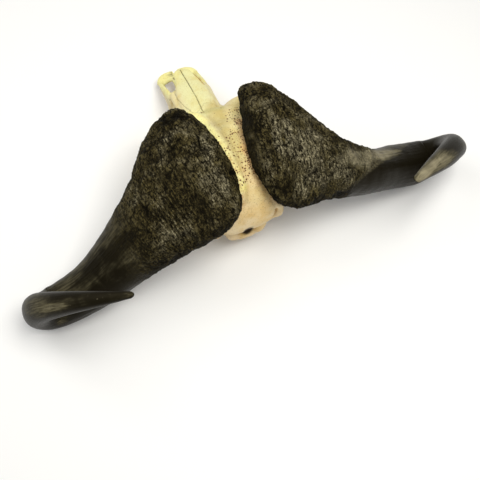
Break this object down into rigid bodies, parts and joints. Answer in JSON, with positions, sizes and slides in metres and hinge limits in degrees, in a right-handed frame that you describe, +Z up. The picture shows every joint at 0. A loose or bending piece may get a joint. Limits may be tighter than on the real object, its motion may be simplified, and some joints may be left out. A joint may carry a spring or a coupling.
{
  "type": "animal skull",
  "caption": "Cape buffalo skull without its lower jaw: rugged horn bosses over the forehead, horns that droop and turn up, open nose and eye sockets, worn cheek teeth.",
  "frame": {"origin": "middle of the bounding box, on the surface that the worn cheek teeth and the lowest bends of the horns stand on", "axes": "+X to the animal's left, snout towards -Y, +Z up from the teeth to the horn bosses; the skull's own midline is the plane x = 0.0185 m, because the right horn reaches further out"},
  "size_m": [1.0066, 0.5758, 0.2693],
  "materials": {
    "bone": "dry, finely porous bone",
    "horn": "rugged on the bosses, satin on the shafts and tips",
    "tooth": "satin, stained"
  },
  "bodies": {
    "root": {"cranium": "bone", "horn_left": "horn", "horn_right": "horn", "premolar_2_left": "tooth", "premolar_3_left": "tooth", "premolar_4_left": "tooth", "molar_1_left": "tooth", "molar_2_left": "tooth", "molar_3_left": "tooth", "premolar_2_right": "tooth", "premolar_3_right": "tooth", "premolar_4_right": "tooth", "molar_1_right": "tooth", "molar_2_right": "tooth", "molar_3_right": "tooth"}
  },
  "joints": []
}
